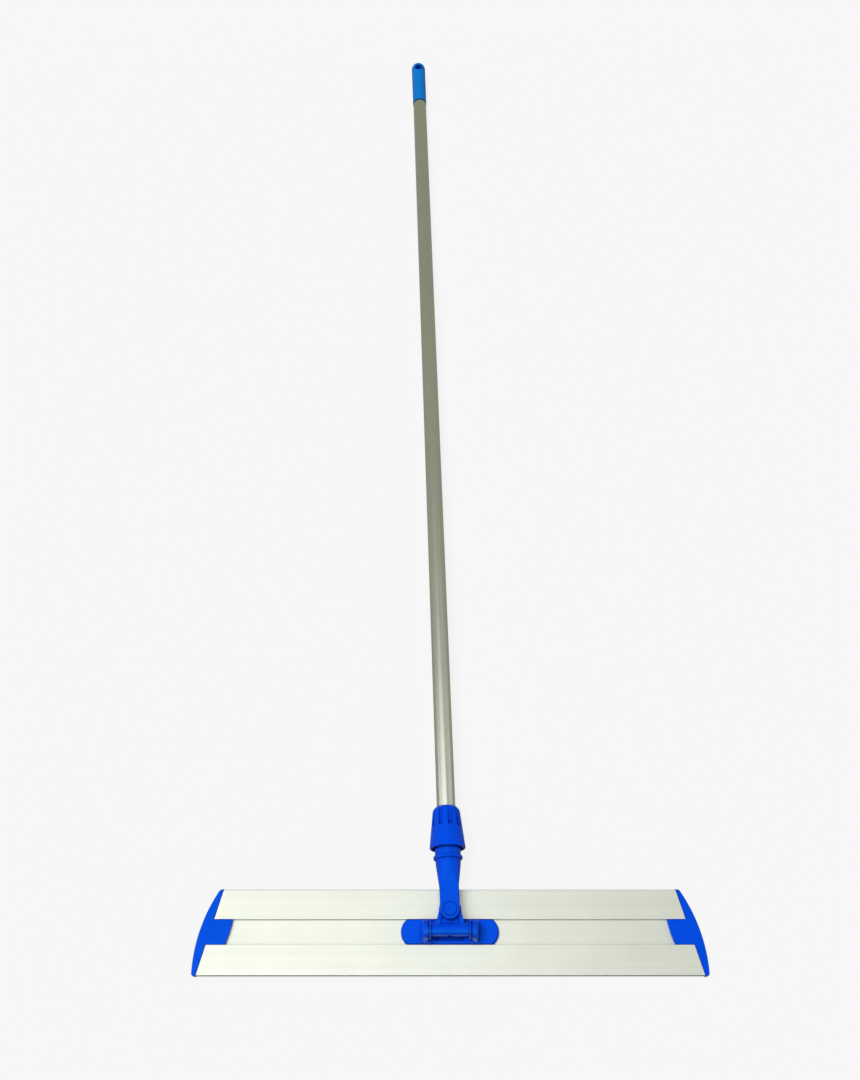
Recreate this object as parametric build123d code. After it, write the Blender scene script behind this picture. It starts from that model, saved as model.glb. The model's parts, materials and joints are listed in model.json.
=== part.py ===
"""Flat mop: an extruded aluminium head with hook strips, a two-axis swivel joint, a pole socket
with a clamp nut, and a long aluminium handle with a hanging grip.

Row frame: millimetres, +Z up, +X along the head, +Y from the head towards the handle's far end.
The origin is on the floor, under the middle of the head. The mop is at rest with the handle
lying on the floor behind the head, leaning a little towards -X.

The handle, nut, socket and knuckle are drawn upright, with +Z along the handle and the front
of the joint facing -Y, and are then laid back about the two pivots.
"""

from build123d import *
import math
import os

# ---------------------------------------------------------------- driving dimensions
# Head extrusion
HEAD_DEPTH = 96.6
FRONT_LENGTH = 589.2
REAR_LENGTH = 541.2
SOLE_Z = 1.2
TOP_Z = 9.2
WALL = 1.4
SIDE_WALL = 1.5
OUTER_ROUND = 0.7
LIP_ROUND = 0.35
CHAMBER_ROUND = 0.8
LINE_OFFSET = 3.6
LINE_DEPTH = 0.06
LINE_RADIUS = 1.6
CHANNEL_HALF = 14.5
CHANNEL_FLOOR_Z = 4.4
LIP = 2.0
LIP_THICKNESS = 1.6
TAPE_WIDTH = 25.0
TAPE_THICKNESS = 2.2
TAPE_GROOVE = 26.5
TAPE_END_GAP = 3.0
TAPE_OUTWARD = 0.25
SLIDE_FIT = 0.3
CUT_OVER = 1.0
MATCH = 0.01

# End caps: one arc for the outside, a flatter one the other way for the tab's inner edge
CAP_ARC_CENTRE_X = 130.4
CAP_ARC_CENTRE_Y = -40.0
CAP_ARC_RADIUS = 170.0
CAP_OVERHANG = 0.7
CAP_REAR_ROUND = 4.8
CAP_FRONT_ROUND = 3.4
TAB_REAR_X = 257.3
TAB_MIDDLE_X = 259.9
TAB_FRONT_X = 264.6
PEG_LENGTH = 14.0
PEG_SLACK = 0.25
CAP_EDGE_ROUND = 1.4
TAB_EDGE_ROUND = 0.5
SEAM_WIDTH = 0.8
SEAM_DEPTH = 1.5

# Screws
SCREW_SHANK = 1.6
SCREW_HEAD = 3.2
SCREW_HEAD_HEIGHT = 1.4
SCREW_HOLE_SLACK = 0.15
RECESS_ARM = (3.4, 0.7, 1.6)
BASE_SCREW_X = 44.0
BASE_SCREW_Y = 8.0
BASE_SCREW_LENGTH = 6.6
CAP_SCREW_LENGTH = 5.0

# Swivel base
BASE_HALF_LENGTH = 56.4
BASE_END_RADIUS = 16.0
BASE_SIDE_GAP = 1.0
BASE_TOP_Z = 10.5
WELL_HALF_LENGTH = 17.0
WELL_HALF_WIDTH = 10.6
WELL_DEPTH = 5.0
WELL_CORNER = 2.0
BASE_TOP_ROUND = 0.9
FOOT_OVERHANG = 1.5
TILT_AXIS_Z = 23.5
EAR_INNER_X = 25.8
EAR_OUTER_X = 32.8
EAR_RADIUS = 10.8
EAR_FOOT_HALF = 12.9
EAR_FOOT_SINK = 0.5
EAR_FLARE_DROP = 3.0
EAR_FLARE_INSET = 0.3
EAR_ROUND = 2.2
AXLE_RADIUS = 2.5
AXLE_INSET = 0.4
AXLE_CHAMFER = 0.4
RUNNING_FIT = 0.06
WEB_THICKNESS = 3.4
WEB_START = (26.4, 13.4)
WEB_END = (17.2, 7.6)
WEB_HEIGHT = 4.6
WEB_END_HEIGHT = 1.4
WEB_LEVEL_RUN = 2.5

# Knuckle
BARREL_RADIUS = 7.45
FLANGE_RADIUS = 10.8
FLANGE_INNER_X = 22.4
FLANGE_OUTER_X = 24.4
HUB_RADIUS = 6.6
HUB_OUTER_X = 25.5
PIN_OFFSET = 21.5
EYE_RADIUS = 13.0
EYE_HALF = 5.2
WEB_HALF = 2.6
RIB_WIDTH = 4.3
RIB_FOOT_X = 17.2
RIB_FOOT_RISE = 3.0
RIB_HEAD_DROP = 1.3
RIB_HEAD_X = 12.935
POCKET_TOP_DROP = 3.0
POCKET_EYE_RIM = 10.0
FLANGE_ROUND = 0.5
BARREL_OVERLAP = 0.5
BARREL_NOTCH = (4.4, 4.8, 1.2)
PIN_RADIUS = 4.0
PIN_CHAMFER = 0.3

# Pole socket, heights measured up from the swivel pin
CHEEK_RADIUS = 11.5
CHEEK_HALF = 11.0
SLOT_HALF = 5.4
SLOT_TOP = 13.8
TONGUE_TOP = 27.0
BODY_RADIUS = 15.2
BODY_ROUND = 54.0
TONGUE_CORNER = 1.5
BODY_FLAT_HALF = 0.35
RING_BOTTOM = 58.9
RING_TOP = 62.9
RING_RADIUS = 17.65
RING_CHAMFER = 0.7
RING_NICK = 3.0
RING_NICK_DEPTH = 0.8
RING_NICK_HEIGHT = 1.4
NECK_RADIUS = 15.6
NECK_TOP = 77.0
THREAD_RADIUS = 15.4
NECK_STEP = 0.8
SOCKET_TOP = 92.0
SOCKET_TOP_CHAMFER = 0.6
SEAT_DEPTH = 12.0
SEAT_TOP_RADIUS = 14.2
SEAT_BOTTOM_RADIUS = 12.8
COVER_RADIUS = 8.9
COVER_FACE_RADIUS = 7.6
COVER_DEPTH = 2.4
COVER_PROUD = 0.2
COVER_GROOVE_DEPTH = 1.1
COVER_CHAMFER = 0.3
COVER_DISH_RADIUS = 60.0
COVER_DISH_DEPTH = 0.35

# Clamp nut and collet
NUT_BOTTOM = 71.9
NUT_TOP = 122.5
NUT_BOTTOM_RADIUS = 21.9
NUT_SHOULDER = 116.4
NUT_SHOULDER_RADIUS = 16.9
NUT_CROWN = 119.0
NUT_CROWN_RADIUS = 16.1
NUT_MOUTH_RADIUS = 12.0
NUT_CROWN_ROUND = 1.6
NUT_SHOULDER_ROUND = 3.0
NUT_MOUTH_BEVEL = (0.8, 0.6)
NUT_STOP_BEVEL = (0.4, 4.0)
SKIRT_DEPTH = 7.5
SKIRT_WALL = 2.6
SKIRT_BEVEL = (0.9, 1.5)
SKIRT_EDGE = (0.9, 1.0)
THREAD_CLEARANCE = 0.3
THREAD_LEAD_IN = (0.3, 1.0)
FACETS = 20
FACET_STAND_OFF = 0.12
FLUTES = 10
FLUTE_BOTTOM = 97.5
FLUTE_FLOOR_RADIUS = 14.9
FLUTE_HALF_BELOW = 2.9
FLUTE_HALF_ABOVE = 2.0
FLUTE_TURN = -24.3
FLUTE_REACH = 8.0
COLLET_TOP = 95.0
COLLET_LENGTH = 14.0
COLLET_FIT = 0.05
COLLET_HEAD_RISE = 0.8
COLLET_HEAD_FLARE = 0.3
COLLET_GAP_WIDTH = 1.8
COLLET_SLITS = (72, 144, 216, 288)
COLLET_SLIT_WIDTH = 1.0
COLLET_BRIDGE = 4.0
COLLET_NUT_GAP = 0.2
CONE_GAP = 0.25

# Handle
TUBE_RADIUS = 11.5
TUBE_WALL = 1.0
TUBE_BOTTOM = 44.0
TUBE_TOP = 1508.0
BORE_CLEARANCE = 0.1
PLUG_FLANGE = 2.0
PLUG_EDGE = 0.6
PLUG_DEPTH = 18.0
PLUG_NOSE = (1.2, 2.0)
PLUG_WALL = 2.5
GRIP_RADIUS = 12.4
GRIP_MOUTH_RADIUS = 12.1
GRIP_BOTTOM = 1428.5
HANG_HOLE_HEIGHT = 1520.0
GRIP_DOME_CENTRE = 1527.0
HANG_HOLE_RADIUS = 6.75
GRIP_MOUTH_ROUND = 0.4

# Rest position
REST_LEAN = 1.7

# Derived
PIN_Z = TILT_AXIS_Z + PIN_OFFSET
HALF_DEPTH = HEAD_DEPTH / 2
CHAMBER_Z0 = TAPE_THICKNESS + WALL
CHAMBER_Z1 = TOP_Z - WALL
CHAMBER_Y0 = CHANNEL_HALF + LIP + SIDE_WALL
CHAMBER_Y1 = HALF_DEPTH - SIDE_WALL
TAPE_Y = (CHAMBER_Y0 + CHAMBER_Y1) / 2 + TAPE_OUTWARD
BASE_HALF_WIDTH = CHANNEL_HALF - BASE_SIDE_GAP
BEYOND = 20.0


def rest_droop():
    """Degrees below level at which the grip just touches the floor behind the head."""
    reach = PIN_OFFSET + GRIP_DOME_CENTRE * math.cos(math.radians(REST_LEAN))
    return math.degrees(math.asin((TILT_AXIS_Z - GRIP_RADIUS) / reach))


# ---------------------------------------------------------------- small helpers
def tube_solid(outer, inner, bottom, top):
    """A ring about +Z between two heights."""
    ring = Circle(outer) - Circle(inner)
    return Pos(0, 0, bottom) * extrude(ring, top - bottom)


def rod(radius, bottom, top):
    """A plain cylinder about +Z between two heights."""
    return Pos(0, 0, bottom) * extrude(Circle(radius), top - bottom)


def turned(points):
    """A solid of revolution about +Z from a closed list of (radius, height) corners."""
    section = make_face(Plane.XZ * Polyline(*points, close=True))
    return revolve(section, Axis.Z)


def rod_x(radius, low, high, z):
    """A cylinder along X between two places, at height z."""
    return Pos(low, 0, z) * Rot(0, 90, 0) * extrude(Circle(radius), high - low)


def rod_y(radius, low, high, z=0.0):
    """A cylinder along Y between two depths, at height z."""
    return Pos(0, low, z) * Rot(-90, 0, 0) * extrude(Circle(radius), high - low)


def block(x0, x1, y0, y1, z0, z1):
    """An axis-aligned box from its corner values."""
    return Pos((x0 + x1) / 2, (y0 + y1) / 2, (z0 + z1) / 2) * Box(x1 - x0, y1 - y0, z1 - z0)


def end_x(y, inset=0.0):
    """Half-length of the extrusion at depth y, less an inset along X."""
    share = (y + HALF_DEPTH) / HEAD_DEPTH
    return (FRONT_LENGTH + (REAR_LENGTH - FRONT_LENGTH) * share) / 2 - inset


def plan_trapezoid(inset, low_y, high_y, z0, z1):
    """A prism between two depths whose ends follow the extrusion's slanted ends."""
    corners = [
        (-end_x(low_y, inset), low_y),
        (end_x(low_y, inset), low_y),
        (end_x(high_y, inset), high_y),
        (-end_x(high_y, inset), high_y),
    ]
    return Pos(0, 0, z0) * extrude(make_face(Polyline(*corners, close=True)), z1 - z0)


def t_section(slack, top_z):
    """The section, in the YZ plane, of what slides in the head's T-shaped channel."""
    under = CHANNEL_HALF + LIP - slack
    neck = CHANNEL_HALF - slack
    lip_z = TOP_Z - LIP_THICKNESS - slack
    foot = Pos(0, (CHANNEL_FLOOR_Z + lip_z) / 2) * Rectangle(2 * under, lip_z - CHANNEL_FLOOR_Z)
    body = Pos(0, (CHANNEL_FLOOR_Z + top_z) / 2) * Rectangle(2 * neck, top_z - CHANNEL_FLOOR_Z)
    return foot + body


# ---------------------------------------------------------------- head
def frame_section():
    """The extrusion's section in the YZ plane."""
    mid_z = (SOLE_Z + TOP_Z) / 2
    slot_top = TOP_Z - LIP_THICKNESS
    section = Pos(0, mid_z) * RectangleRounded(HEAD_DEPTH, TOP_Z - SOLE_Z, OUTER_ROUND)
    section -= Pos(0, TOP_Z) * Rectangle(2 * CHANNEL_HALF, 2 * LIP_THICKNESS + CUT_OVER)
    section -= Pos(0, (CHANNEL_FLOOR_Z + slot_top) / 2) * Rectangle(
        2 * (CHANNEL_HALF + LIP), slot_top - CHANNEL_FLOOR_Z
    )
    groove_depth = TAPE_THICKNESS - SOLE_Z
    for side in (-1, 0, 1):
        groove = Pos(side * TAPE_Y, SOLE_Z + groove_depth / 2)
        section -= groove * Rectangle(TAPE_GROOVE, groove_depth)
    chamber = RectangleRounded(CHAMBER_Y1 - CHAMBER_Y0, CHAMBER_Z1 - CHAMBER_Z0, CHAMBER_ROUND)
    line = Circle(LINE_RADIUS)
    for side in (-1, 1):
        middle = side * (CHAMBER_Y0 + CHAMBER_Y1) / 2
        section -= Pos(middle, (CHAMBER_Z0 + CHAMBER_Z1) / 2) * chamber
        line_y = side * (CHANNEL_HALF + LINE_OFFSET)
        section -= Pos(line_y, TOP_Z + LINE_RADIUS - LINE_DEPTH) * line
    return section


def base_screw_places():
    """Where the four screws that hold the swivel base stand."""
    return [(x, y) for x in (-BASE_SCREW_X, BASE_SCREW_X) for y in (-BASE_SCREW_Y, BASE_SCREW_Y)]


def cap_screw_places():
    """Where the four screws that hold the end caps' pegs stand."""
    places = []
    for y in (-TAPE_Y, TAPE_Y):
        for side in (-1, 1):
            places.append((side * (end_x(y) - PEG_LENGTH / 2), y))
    return places


def frame_profile():
    """The extruded aluminium head: two hollow strips joined by a T-slot channel."""
    bar = extrude(Plane.YZ * frame_section(), FRONT_LENGTH / 2 + CUT_OVER, both=True)
    lip_edges = [
        e
        for e in bar.edges().filter_by(Axis.X)
        if abs(abs(e.center().Y) - CHANNEL_HALF) < MATCH and abs(e.center().Z - TOP_Z) < MATCH
    ]
    bar = fillet(lip_edges, LIP_ROUND)
    bar = bar & plan_trapezoid(0, -HALF_DEPTH, HALF_DEPTH, 0, TOP_Z + CUT_OVER)
    hole_radii = (SCREW_SHANK + SCREW_HOLE_SLACK, SCREW_HEAD + SCREW_HOLE_SLACK)
    for x, y in base_screw_places():
        bar -= Pos(x, y, 0) * countersunk(*hole_radii, BASE_SCREW_LENGTH)
    for x, y in cap_screw_places():
        bar -= Pos(x, y, 0) * countersunk(*hole_radii, WALL + SCREW_HOLE_SLACK)
    return bar


def countersunk(shank, head, length):
    """A countersunk screw's outline, head down, with its flat at the tape groove's face."""
    bottom = TAPE_THICKNESS
    return turned(
        [
            (0, bottom),
            (head, bottom),
            (shank, bottom + SCREW_HEAD_HEIGHT),
            (shank, bottom + length),
            (0, bottom + length),
        ]
    )


def screw_group(places, length):
    """Self-tapping countersunk screws with cross recesses, driven from below."""
    made = []
    for x, y in places:
        screw = countersunk(SCREW_SHANK, SCREW_HEAD, length)
        for angle in (0, 90):
            screw -= Pos(0, 0, TAPE_THICKNESS) * Rot(0, 0, angle) * Box(*RECESS_ARM)
        made.append(Pos(x, y, 0) * screw)
    return Compound(children=made)


def cap_plan():
    """The right end cap's crescent, from the extrusion's slanted end out to the arc."""
    front_y = -HALF_DEPTH - CAP_OVERHANG
    rear_y = HALF_DEPTH + CAP_OVERHANG

    def arc_x(y):
        rise = y - CAP_ARC_CENTRE_Y
        return CAP_ARC_CENTRE_X + math.sqrt(CAP_ARC_RADIUS**2 - rise**2)

    front_in, rear_in = (end_x(front_y), front_y), (end_x(rear_y), rear_y)
    front_out, rear_out = (arc_x(front_y), front_y), (arc_x(rear_y), rear_y)
    outline = [
        Line(front_in, front_out),
        ThreePointArc(front_out, (arc_x(0), 0), rear_out),
        Line(rear_out, rear_in),
        Line(rear_in, front_in),
    ]
    plan = make_face(Curve() + outline)
    for corner, radius in ((front_out, CAP_FRONT_ROUND), (rear_out, CAP_REAR_ROUND)):
        nearest = plan.vertices().sort_by_distance(corner)[0]
        plan = fillet(nearest, radius)
    return plan


def tab_plan():
    """The tab that lies in the channel, between the cap and its arched inner edge."""
    half = HALF_DEPTH
    slope = (TAB_FRONT_X - TAB_REAR_X) / (2 * CHANNEL_HALF)
    rear = (TAB_REAR_X - slope * (half - CHANNEL_HALF), half)
    front = (TAB_FRONT_X + slope * (half - CHANNEL_HALF), -half)
    inner = [
        Line(rear, (TAB_REAR_X, CHANNEL_HALF)),
        ThreePointArc(
            (TAB_REAR_X, CHANNEL_HALF), (TAB_MIDDLE_X, 0), (TAB_FRONT_X, -CHANNEL_HALF)
        ),
        Line((TAB_FRONT_X, -CHANNEL_HALF), front),
    ]
    outer = [Line(front, (end_x(-half), -half)), Line((end_x(-half), -half), (end_x(half), half))]
    return make_face(Curve() + inner + outer + [Line((end_x(half), half), rear)])


def cap_seam(side):
    """The narrow step that leaves a shadow line between the cap and one aluminium strip."""
    near, far = side * CHANNEL_HALF, side * (HALF_DEPTH + 2 * CAP_OVERHANG)
    corners = [
        (end_x(near) - CUT_OVER, near),
        (end_x(near) + SEAM_WIDTH, near),
        (end_x(far) + SEAM_WIDTH, far),
        (end_x(far) - CUT_OVER, far),
    ]
    plan = make_face(Polyline(*corners, close=True))
    return Pos(0, 0, TOP_Z) * extrude(plan, SEAM_DEPTH, both=True)


def cap_pegs():
    """The two pegs that fill the ends of the extrusion's chambers."""
    pegs = []
    low_z, high_z = CHAMBER_Z0 + PEG_SLACK, CHAMBER_Z1 - PEG_SLACK
    right_half = block(0, FRONT_LENGTH, -HEAD_DEPTH, HEAD_DEPTH, 0, 2 * TOP_Z)
    for side in (-1, 1):
        near, far = side * (CHAMBER_Y0 + PEG_SLACK), side * (CHAMBER_Y1 - PEG_SLACK)
        low, high = min(near, far), max(near, far)
        whole = plan_trapezoid(0, low, high, low_z, high_z)
        beyond = plan_trapezoid(
            PEG_LENGTH, low - CUT_OVER, high + CUT_OVER, low_z - CUT_OVER, high_z + CUT_OVER
        )
        pegs.append((whole - beyond) & right_half)
    return pegs


def end_cap():
    """The right end cap: rounded crescent, tab in the channel and two pegs in the chambers."""
    crescent = Pos(0, 0, SOLE_Z) * extrude(cap_plan(), TOP_Z - SOLE_Z)
    rim = [e for e in crescent.edges() if is_rim(e) and not on_end_line(e)]
    crescent = fillet(rim, CAP_EDGE_ROUND)
    for side in (-1, 1):
        crescent -= cap_seam(side)
    bar = extrude(Plane.YZ * t_section(SLIDE_FIT, TOP_Z), FRONT_LENGTH)
    tab = bar & extrude(tab_plan(), 2 * TOP_Z)
    tab_rim = [
        e for e in tab.edges() if abs(e.center().Z - TOP_Z) < MATCH and not on_end_line(e)
    ]
    tab = fillet(tab_rim, TAB_EDGE_ROUND)
    cap = crescent + tab
    for peg in cap_pegs():
        cap += peg
    for x, y in cap_screw_places():
        if x > 0:
            cap -= Pos(x, y, 0) * rod(SCREW_SHANK, TAPE_THICKNESS, TAPE_THICKNESS + CAP_SCREW_LENGTH)
    return cap


def is_rim(edge):
    """True for an edge that lies flat at the sole's or the top's height."""
    flat = edge.bounding_box().size.Z < MATCH
    return flat and min(abs(edge.center().Z - z) for z in (SOLE_Z, TOP_Z)) < MATCH


def on_end_line(edge):
    """True for an edge that lies on the extrusion's slanted end."""
    ends = (edge.position_at(0), edge.position_at(1))
    return all(abs(p.X - end_x(p.Y)) < MATCH for p in ends)


def hook_strip(side):
    """One hook tape, cut parallel to the extrusion's ends."""
    low, high = side * TAPE_Y - TAPE_WIDTH / 2, side * TAPE_Y + TAPE_WIDTH / 2
    return plan_trapezoid(TAPE_END_GAP, low, high, 0, TAPE_THICKNESS)


# ---------------------------------------------------------------- swivel base
def base_outline(half_width, end_radius):
    """The base's oblong plan: straight sides, arc ends."""
    centre = BASE_HALF_LENGTH - BASE_END_RADIUS
    plan = Rectangle(2 * centre, 2 * end_radius)
    for side in (-1, 1):
        plan += Pos(side * centre, 0) * Circle(end_radius)
    return plan & Rectangle(3 * BASE_HALF_LENGTH, 2 * half_width)


def ear(side):
    """One bearing ear: a rounded boss on a wide foot."""
    foot_z = BASE_TOP_Z - EAR_FOOT_SINK
    flare_z = TILT_AXIS_Z - EAR_FLARE_DROP
    flare_half = EAR_RADIUS - EAR_FLARE_INSET
    foot = Polyline(
        (-EAR_FOOT_HALF, foot_z),
        (EAR_FOOT_HALF, foot_z),
        (flare_half, flare_z),
        (-flare_half, flare_z),
        close=True,
    )
    plan = make_face(foot) + Pos(0, TILT_AXIS_Z) * Circle(EAR_RADIUS)
    low = EAR_INNER_X if side > 0 else -EAR_OUTER_X
    solid = Pos(low, 0, 0) * extrude(Plane.YZ * plan, EAR_OUTER_X - EAR_INNER_X)
    outer_x = side * EAR_OUTER_X
    rim = [
        e
        for e in solid.edges()
        if abs(e.center().X - outer_x) < MATCH
        and e.bounding_box().size.X < MATCH
        and e.center().Z > BASE_TOP_Z
    ]
    return fillet(rim, EAR_ROUND)


def diagonal_web(side, depth_side):
    """A low sloping web from an ear's foot, in towards the well under the barrel."""
    foot_z = BASE_TOP_Z - EAR_FOOT_SINK
    start = Vector(side * WEB_START[0], depth_side * WEB_START[1], foot_z)
    end = Vector(side * WEB_END[0], depth_side * WEB_END[1], foot_z)
    run = end - start
    along = run.normalized()
    across = along.cross(Vector(0, 0, 1))
    plane = Plane(origin=start, x_dir=along, z_dir=across)
    side_view = Polyline(
        (0, 0),
        (run.length, 0),
        (run.length, WEB_END_HEIGHT),
        (WEB_LEVEL_RUN, WEB_HEIGHT),
        (0, WEB_HEIGHT),
        close=True,
    )
    web = extrude(plane * make_face(side_view), WEB_THICKNESS / 2, both=True)
    return web & block(
        -EAR_OUTER_X, EAR_OUTER_X, -BASE_HALF_WIDTH, BASE_HALF_WIDTH, 0, 2 * TILT_AXIS_Z
    )


def swivel_base():
    """The base that slides in the channel and carries the two ears."""
    lip_z = TOP_Z - LIP_THICKNESS - SLIDE_FIT
    foot_plan = base_outline(CHANNEL_HALF + LIP - SLIDE_FIT, BASE_END_RADIUS + FOOT_OVERHANG)
    foot = Pos(0, 0, CHANNEL_FLOOR_Z) * extrude(foot_plan, lip_z - CHANNEL_FLOOR_Z)
    plate_plan = base_outline(BASE_HALF_WIDTH, BASE_END_RADIUS)
    plate = Pos(0, 0, CHANNEL_FLOOR_Z) * extrude(plate_plan, BASE_TOP_Z - CHANNEL_FLOOR_Z)
    plate = fillet(plate.faces().sort_by(Axis.Z)[-1].edges(), BASE_TOP_ROUND)
    well = Box(2 * WELL_HALF_LENGTH, 2 * WELL_HALF_WIDTH, 2 * WELL_DEPTH)
    well = fillet(well.edges().filter_by(Axis.Z), WELL_CORNER)
    base = foot + plate - Pos(0, 0, BASE_TOP_Z) * well
    for side in (-1, 1):
        base += ear(side)
        for depth_side in (-1, 1):
            base += diagonal_web(side, depth_side)
    reach = EAR_OUTER_X + CUT_OVER
    base -= rod_x(AXLE_RADIUS, -reach, reach, TILT_AXIS_Z)
    for x, y in base_screw_places():
        base -= Pos(x, y, 0) * rod(SCREW_SHANK, 0, TAPE_THICKNESS + BASE_SCREW_LENGTH)
    return base


def tilt_axle():
    """Steel axle pressed into both ears."""
    reach = EAR_OUTER_X - AXLE_INSET
    axle = rod_x(AXLE_RADIUS, -reach, reach, TILT_AXIS_Z)
    return chamfer(axle.edges().filter_by(GeomType.CIRCLE), AXLE_CHAMFER)


# ---------------------------------------------------------------- knuckle, drawn upright
def ribbed_web():
    """The plate between the barrel and the eye, with a rib along each slanted side."""
    foot_z = TILT_AXIS_Z + RIB_FOOT_RISE
    head_z = PIN_Z - RIB_HEAD_DROP
    outline = make_face(
        Polyline(
            (-RIB_FOOT_X, foot_z),
            (RIB_FOOT_X, foot_z),
            (RIB_HEAD_X, head_z),
            (-RIB_HEAD_X, head_z),
            close=True,
        )
    )
    outline += Pos(0, PIN_Z) * Circle(EYE_RADIUS)
    slope = (RIB_FOOT_X - EYE_RADIUS) / (head_z - foot_z)
    pocket_foot_x = RIB_FOOT_X - RIB_WIDTH
    pocket_head_x = EYE_RADIUS - RIB_WIDTH + 2 * slope
    pocket_plan = make_face(
        Polyline(
            (-pocket_foot_x, foot_z - CUT_OVER),
            (pocket_foot_x, foot_z - CUT_OVER),
            (pocket_head_x, PIN_Z - POCKET_TOP_DROP),
            (-pocket_head_x, PIN_Z - POCKET_TOP_DROP),
            close=True,
        )
    )
    pocket_plan -= Pos(0, PIN_Z) * Circle(POCKET_EYE_RIM)
    pocket = extrude(Plane.XZ * pocket_plan, EYE_HALF, both=True)
    pocket -= extrude(Plane.XZ * pocket_plan, WEB_HALF, both=True)
    return extrude(Plane.XZ * outline, EYE_HALF, both=True) - pocket


def knuckle():
    """Barrel on the tilt axle, ribbed web and the eye that takes the swivel pin."""
    barrel_reach = FLANGE_INNER_X + BARREL_OVERLAP
    solid = ribbed_web() + rod_x(BARREL_RADIUS, -barrel_reach, barrel_reach, TILT_AXIS_Z)
    for side in (-1, 1):
        low, high = sorted((side * FLANGE_INNER_X, side * FLANGE_OUTER_X))
        disc = rod_x(FLANGE_RADIUS, low, high, TILT_AXIS_Z)
        solid += fillet(disc.edges().filter_by(GeomType.CIRCLE), FLANGE_ROUND)
    solid += rod_x(HUB_RADIUS, -HUB_OUTER_X, HUB_OUTER_X, TILT_AXIS_Z)
    bore_reach = HUB_OUTER_X + CUT_OVER
    solid -= rod_x(AXLE_RADIUS + RUNNING_FIT, -bore_reach, bore_reach, TILT_AXIS_Z)
    eye_reach = EYE_HALF + CUT_OVER
    solid -= rod_y(PIN_RADIUS + RUNNING_FIT, -eye_reach, eye_reach, PIN_Z)
    width, depth, height = BARREL_NOTCH
    notch_z = TILT_AXIS_Z - BARREL_RADIUS
    solid -= block(
        -width / 2, width / 2, -depth / 2, depth / 2, notch_z - CUT_OVER, notch_z + height
    )
    return solid


# ---------------------------------------------------------------- pole socket, pin at z = 0
def body_wire(half_x, half_y, corner, z):
    """Eight edges, four flats and four corner arcs, so that every loft section matches."""
    fx, fy = half_x - corner, half_y - corner
    k = corner * math.sqrt(0.5)
    flats = [
        ((-fx, -half_y), (fx, -half_y)),
        ((half_x, -fy), (half_x, fy)),
        ((fx, half_y), (-fx, half_y)),
        ((-half_x, fy), (-half_x, -fy)),
    ]
    mids = [(fx + k, -fy - k), (fx + k, fy + k), (-fx - k, fy + k), (-fx - k, -fy - k)]
    edges = []
    for i, (start, end) in enumerate(flats):
        edges.append(Line(start, end))
        edges.append(ThreePointArc(end, mids[i], flats[(i + 1) % 4][0]))
    return Pos(0, 0, z) * make_face(Curve() + edges)


def socket_body():
    """The tongue, the transition to round, and the ring, neck and threaded stub."""
    tongue = extrude(
        Plane.XZ * (Pos(0, TONGUE_TOP / 2) * Rectangle(2 * CHEEK_RADIUS, TONGUE_TOP)),
        CHEEK_HALF,
        both=True,
    )
    tongue += rod_y(CHEEK_RADIUS, -CHEEK_HALF, CHEEK_HALF)
    rims = [
        e
        for e in tongue.edges()
        if abs(abs(e.center().Y) - CHEEK_HALF) < MATCH and e.center().Z < TONGUE_TOP - MATCH
    ]
    tongue = fillet(rims, TONGUE_CORNER)
    near_round = BODY_RADIUS - BODY_FLAT_HALF
    transition = loft(
        [
            body_wire(CHEEK_RADIUS, CHEEK_HALF, TONGUE_CORNER, TONGUE_TOP),
            body_wire(BODY_RADIUS, BODY_RADIUS, near_round, BODY_ROUND),
        ],
        ruled=True,
    )
    stub = turned(
        [
            (0, BODY_ROUND),
            (BODY_RADIUS, BODY_ROUND),
            (BODY_RADIUS, RING_BOTTOM),
            (RING_RADIUS - RING_CHAMFER, RING_BOTTOM),
            (RING_RADIUS, RING_BOTTOM + RING_CHAMFER),
            (RING_RADIUS, RING_TOP - RING_CHAMFER),
            (RING_RADIUS - RING_CHAMFER, RING_TOP),
            (NECK_RADIUS, RING_TOP),
            (NECK_RADIUS, NECK_TOP),
            (THREAD_RADIUS, NECK_TOP + NECK_STEP),
            (THREAD_RADIUS, SOCKET_TOP - SOCKET_TOP_CHAMFER),
            (THREAD_RADIUS - SOCKET_TOP_CHAMFER, SOCKET_TOP),
            (0, SOCKET_TOP),
        ]
    )
    return tongue + transition + stub


def pole_socket():
    """The forked socket: cheeks astride the knuckle's eye, and a bore for the handle."""
    solid = socket_body()
    solid -= block(-BEYOND, BEYOND, -SLOT_HALF, SLOT_HALF, -BEYOND, SLOT_TOP)
    solid -= rod_y(PIN_RADIUS, -BEYOND, BEYOND)
    for side in (-1, 1):
        seat_y = side * (CHEEK_HALF - COVER_DEPTH)
        low, high = sorted((seat_y, side * (CHEEK_HALF + CUT_OVER)))
        solid -= rod_y(COVER_RADIUS, low, high)
    nick = RING_NICK / 2
    nick_floor = RING_NICK_DEPTH - RING_RADIUS
    nick_top = RING_BOTTOM + RING_NICK_HEIGHT
    solid -= block(-nick, nick, -BEYOND, nick_floor, RING_BOTTOM - CUT_OVER, nick_top)
    bore = TUBE_RADIUS + BORE_CLEARANCE
    solid -= turned(
        [
            (0, TUBE_BOTTOM - PLUG_FLANGE),
            (bore, TUBE_BOTTOM - PLUG_FLANGE),
            (bore, SOCKET_TOP - SEAT_DEPTH),
            (SEAT_BOTTOM_RADIUS, SOCKET_TOP - SEAT_DEPTH),
            (SEAT_TOP_RADIUS, SOCKET_TOP),
            (SEAT_TOP_RADIUS, SOCKET_TOP + CUT_OVER),
            (0, SOCKET_TOP + CUT_OVER),
        ]
    )
    return solid


def swivel_pin():
    """Steel pin pressed through both cheeks."""
    reach = CHEEK_HALF - COVER_DEPTH
    pin = rod_y(PIN_RADIUS, -reach, reach)
    return chamfer(pin.edges().filter_by(GeomType.CIRCLE), PIN_CHAMFER)


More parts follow.
